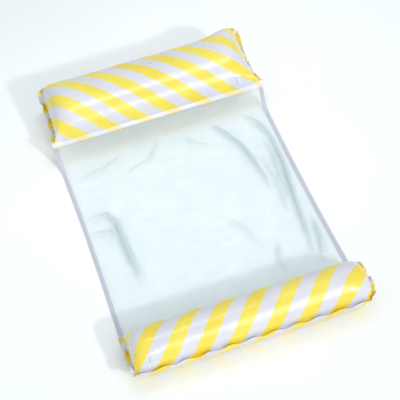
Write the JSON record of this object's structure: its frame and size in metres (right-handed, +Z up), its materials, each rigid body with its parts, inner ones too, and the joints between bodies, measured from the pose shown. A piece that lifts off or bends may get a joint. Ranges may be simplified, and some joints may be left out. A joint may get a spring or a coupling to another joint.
{
  "type": "inflatable water hammock float",
  "caption": "Inflatable pool float with a headrest pillow, a slimmer foot tube and an open net to lie on between them, lying flat on the ground.",
  "frame": {"origin": "on the floor, under the middle of the float's overall length and width", "axes": "+X across the float, +Y from the foot tube to the headrest, +Z up"},
  "size_m": [0.7, 1.2, 0.1802],
  "materials": {
    "printed_film": "glossy vinyl film printed with diagonal yellow and white stripes",
    "clear_pvc": "clear soft vinyl",
    "net": "fine open white net",
    "edge_tape": "pale lavender-grey woven binding tape"
  },
  "bodies": {
    "net": {"net_panel": "net", "left_binding": "edge_tape", "right_binding": "edge_tape"},
    "headrest": {"headrest_upper_panel": "printed_film", "headrest_lower_panel": "printed_film", "headrest_valve_disc": "clear_pvc"},
    "headrest_valve": {"headrest_valve_stem": "clear_pvc"},
    "headrest_flap": {"headrest_valve_flap": "clear_pvc"},
    "headrest_plug": {"headrest_valve_plug": "clear_pvc"},
    "footrest": {"footrest_upper_panel": "printed_film", "footrest_lower_panel": "printed_film", "footrest_valve_disc": "clear_pvc"},
    "footrest_valve": {"footrest_valve_stem": "clear_pvc"},
    "footrest_flap": {"footrest_valve_flap": "clear_pvc"},
    "footrest_plug": {"footrest_valve_plug": "clear_pvc"}
  },
  "joints": [
    {"name": "headrest_fold", "type": "hinge", "parent": "net", "child": "headrest", "pos_m": [0, 0.35028, 0.075], "axis": [1, 0, 0], "range_deg": [0, 150]},
    {"name": "headrest_valve_push", "type": "slide", "parent": "headrest", "child": "headrest_valve", "axis": [0.025, -0.9498, 0.3118], "range_m": [0, 0.008]},
    {"name": "headrest_plug_swing", "type": "hinge", "parent": "headrest_valve", "child": "headrest_plug", "pos_m": [0.26863, 0.36658, 0.12309], "axis": [-0.9997, -0.0261, 0.0005], "range_deg": [0, 150]},
    {"name": "headrest_flap_swing", "type": "hinge", "parent": "headrest_valve", "child": "headrest_flap", "pos_m": [0.26835, 0.37694, 0.10959], "axis": [0.9997, 0.0261, -0.0005], "range_deg": [0, 60]},
    {"name": "footrest_fold", "type": "hinge", "parent": "net", "child": "footrest", "pos_m": [0, -0.44028, 0.056], "axis": [-1, 0, 0], "range_deg": [0, 150]},
    {"name": "footrest_valve_push", "type": "slide", "parent": "footrest", "child": "footrest_valve", "axis": [-0.0205, -0.9162, 0.4002], "range_m": [0, 0.008]},
    {"name": "footrest_plug_swing", "type": "hinge", "parent": "footrest_valve", "child": "footrest_plug", "pos_m": [-0.28507, -0.57755, 0.10572], "axis": [-0.9998, 0.0189, -0.0078], "range_deg": [0, 150]},
    {"name": "footrest_flap_swing", "type": "hinge", "parent": "footrest_valve", "child": "footrest_flap", "pos_m": [-0.28478, -0.56852, 0.0913], "axis": [0.9998, -0.0189, 0.0078], "range_deg": [0, 60]}
  ]
}
